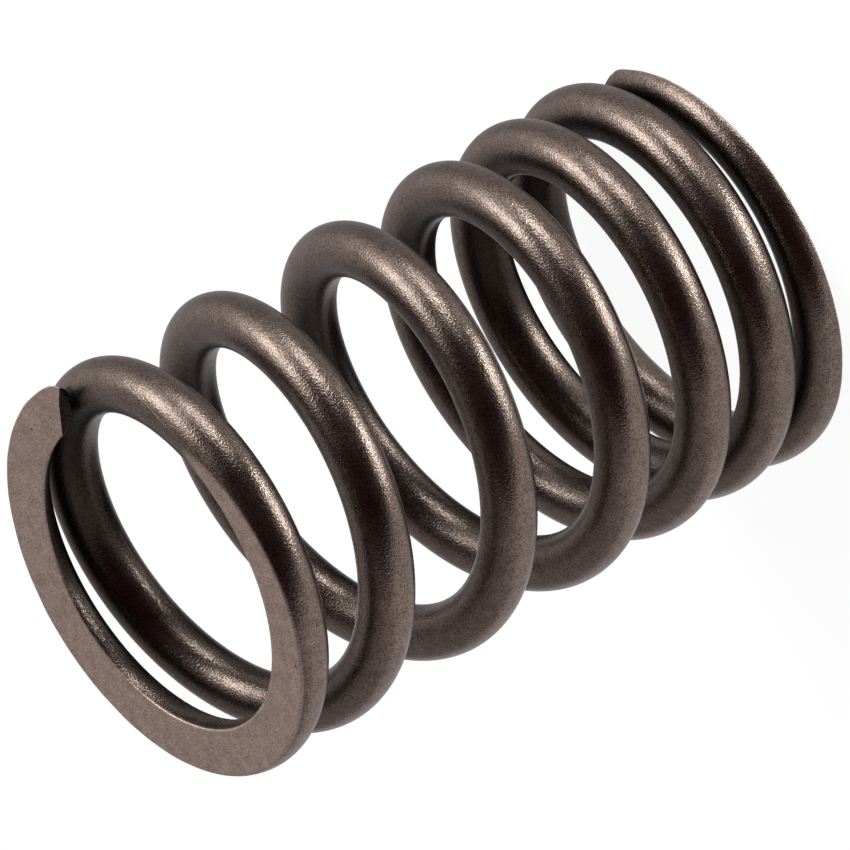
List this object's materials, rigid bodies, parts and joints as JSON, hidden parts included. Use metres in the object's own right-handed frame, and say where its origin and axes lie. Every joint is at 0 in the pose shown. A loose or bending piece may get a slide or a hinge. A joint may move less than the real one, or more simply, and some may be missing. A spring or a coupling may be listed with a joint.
{
  "type": "engine valve spring",
  "caption": "Left-hand coil compression spring of round wire, wide coils at one end and closer ones at the other, with both ends closed and ground flat.",
  "frame": {"origin": "centre of the coil, on the plane of the ground foot", "axes": "+Z along the coil from the foot to the top; the wire's top tip is on +X"},
  "size_m": [0.0312, 0.0312, 0.0512],
  "materials": {
    "spring_wire": "dark oil-tempered spring wire, shot-peened satin, ends ground matt"
  },
  "bodies": {
    "root": {"valve_spring": "spring_wire"}
  },
  "joints": []
}
